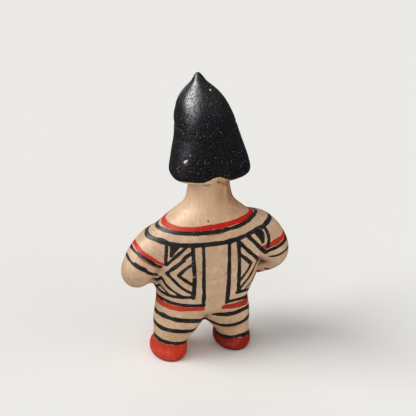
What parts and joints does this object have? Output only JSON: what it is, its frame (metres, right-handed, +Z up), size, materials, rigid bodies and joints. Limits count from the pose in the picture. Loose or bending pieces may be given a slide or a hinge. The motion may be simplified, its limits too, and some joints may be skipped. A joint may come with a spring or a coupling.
{
  "type": "clay doll figurine",
  "caption": "Standing figure of fired clay with bobbed black hair, hands on the belly and short legs, painted with black and red bands.",
  "frame": {"origin": "on the ground, under the middle of the figure's box", "axes": "+Z up, +X to the figure's left, +Y to its back; the figure faces -Y"},
  "size_m": [0.0878, 0.0424, 0.1516],
  "materials": {
    "painted_clay": "unglazed fired clay, hand burnished, with black and red painted bands"
  },
  "bodies": {
    "root": {"clay_doll": "painted_clay"}
  },
  "joints": []
}
